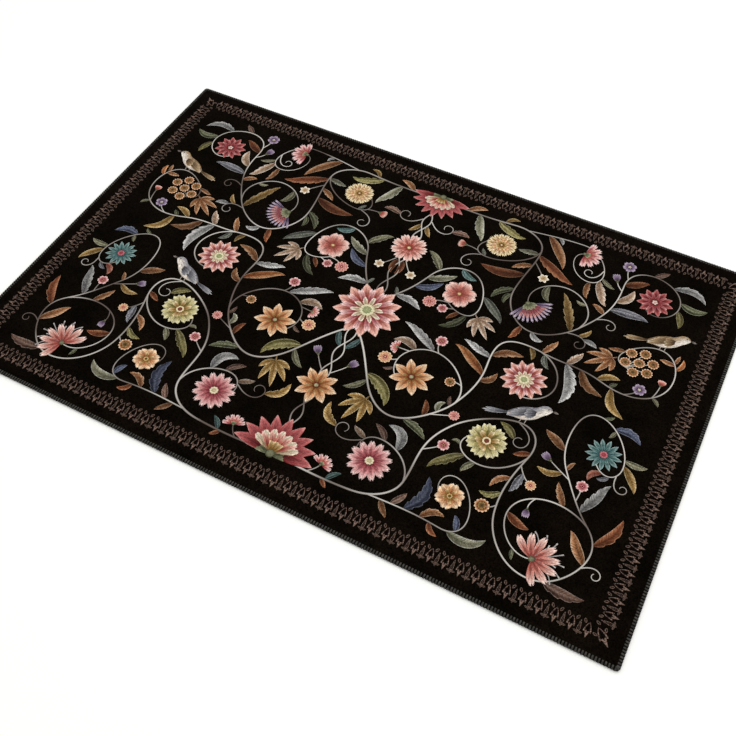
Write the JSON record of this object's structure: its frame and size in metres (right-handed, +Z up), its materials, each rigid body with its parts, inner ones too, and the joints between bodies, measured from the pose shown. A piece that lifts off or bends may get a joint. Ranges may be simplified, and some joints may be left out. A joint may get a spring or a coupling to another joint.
{
  "type": "doormat",
  "caption": "Flat rectangular doormat: one short pile cloth with a printed floral field, an ornamental border and an overlocked yarn edge.",
  "frame": {"origin": "on the floor, under the middle of the mat", "axes": "+X along the long side, +Y along the short side, +Z up out of the pile"},
  "size_m": [0.9, 0.6, 0.0042],
  "materials": {
    "pile_cloth": "short black brushed pile, matt",
    "edge_yarn": "spun dark grey overlocking yarn, matt",
    "field_colours": "coloured floral pattern in the pile, matt",
    "border_colours": "brown ornament in the pile, matt"
  },
  "bodies": {
    "root": {"mat_cloth": "pile_cloth", "edge_yarn": "edge_yarn"}
  },
  "joints": []
}
